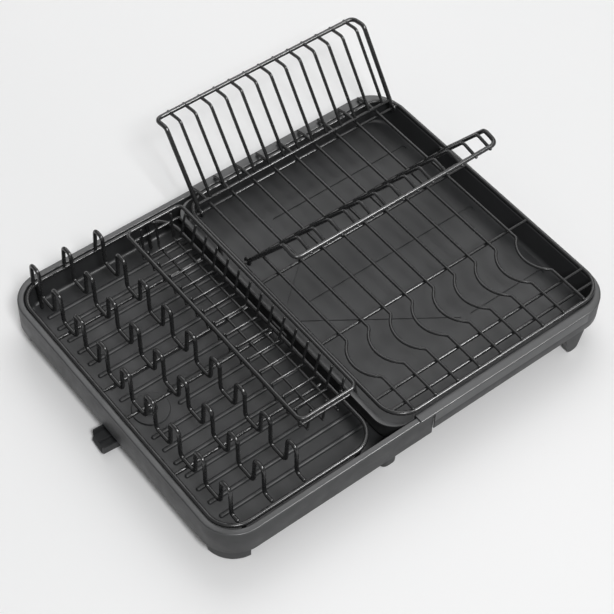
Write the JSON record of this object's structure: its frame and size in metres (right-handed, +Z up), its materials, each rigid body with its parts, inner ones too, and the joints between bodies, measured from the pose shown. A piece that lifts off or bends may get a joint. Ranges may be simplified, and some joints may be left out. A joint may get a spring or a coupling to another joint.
{
  "type": "dish drying rack",
  "caption": "Extendable dish drying rack: plastic drip trays with a swivel drain spout, a wire plate rack, a cutlery basket and a cup rack with fold-over fences.",
  "frame": {"origin": "centre of the whole object's bounding box, on the surface that the feet stand on", "axes": "+X along the trays from the drain end to the extension's end, +Y from front to back, +Z up"},
  "size_m": [0.4551, 0.3785, 0.1247],
  "materials": {
    "tray_plastic": "satin moulded",
    "coated_wire": "satin coated",
    "rubber": "matte"
  },
  "bodies": {
    "base": {"base_tray": "tray_plastic", "base_foot_front_left": "tray_plastic", "base_foot_back_left": "tray_plastic", "base_foot_front_right": "tray_plastic", "base_foot_back_right": "tray_plastic", "base_pad_front_left": "rubber", "base_pad_back_left": "rubber", "base_pad_front_right": "rubber", "base_pad_back_right": "rubber", "drain_seal": "rubber"},
    "extension": {"extension_tray": "tray_plastic", "extension_fin_front": "tray_plastic", "extension_fin_back": "tray_plastic", "extension_corner_fin_front": "tray_plastic", "extension_corner_fin_back": "tray_plastic"},
    "spout": {"drain_disc": "tray_plastic", "drain_spout": "tray_plastic"},
    "dish_rack": {"dish_rack_frame": "coated_wire", "dish_rack_leg_front_left": "coated_wire", "dish_rack_leg_front_right": "coated_wire", "dish_rack_leg_back_left": "coated_wire", "dish_rack_leg_back_right": "coated_wire", "prong_wire_left": "coated_wire", "prong_wire_middle": "coated_wire", "prong_wire_right": "coated_wire"},
    "cutlery_basket": {"basket_top_rail": "coated_wire", "basket_side_left": "coated_wire", "basket_side_right": "coated_wire", "basket_end_front": "coated_wire", "basket_end_back": "coated_wire", "basket_floor": "coated_wire"},
    "cup_rack": {"cup_rack_grille": "coated_wire", "cup_rack_leg_front": "coated_wire", "cup_rack_leg_back": "coated_wire"},
    "rear_fence_body": {"rear_fence": "coated_wire"},
    "front_fence_body": {"front_fence": "coated_wire"}
  },
  "joints": [
    {"name": "extension_slide", "type": "slide", "parent": "base", "child": "extension", "axis": [1, 0, 0], "range_m": [-0.009, 0]},
    {"name": "spout_swivel", "type": "hinge", "parent": "base", "child": "spout", "pos_m": [-0.1713, -0.01861, 0.014], "axis": [0, 0, 1], "range_deg": [-90, 90]},
    {"name": "dish_rack_lift", "type": "slide", "parent": "base", "child": "dish_rack", "axis": [0, 0, 1], "range_m": [0, 0.08]},
    {"name": "basket_lift", "type": "slide", "parent": "dish_rack", "child": "cutlery_basket", "axis": [0, 0, 1], "range_m": [0, 0.08]},
    {"name": "cup_rack_lift", "type": "slide", "parent": "extension", "child": "cup_rack", "axis": [0, 0, 1], "range_m": [0, 0.08]},
    {"name": "rear_fence_fold", "type": "hinge", "parent": "cup_rack", "child": "rear_fence_body", "pos_m": [0.099, 0.11689, 0.0522], "axis": [1, 0, 0], "range_deg": [0, 55]},
    {"name": "front_fence_fold", "type": "hinge", "parent": "cup_rack", "child": "front_fence_body", "pos_m": [0.099, 0.04309, 0.0522], "axis": [-1, 0, 0], "range_deg": [0, 55]}
  ]
}
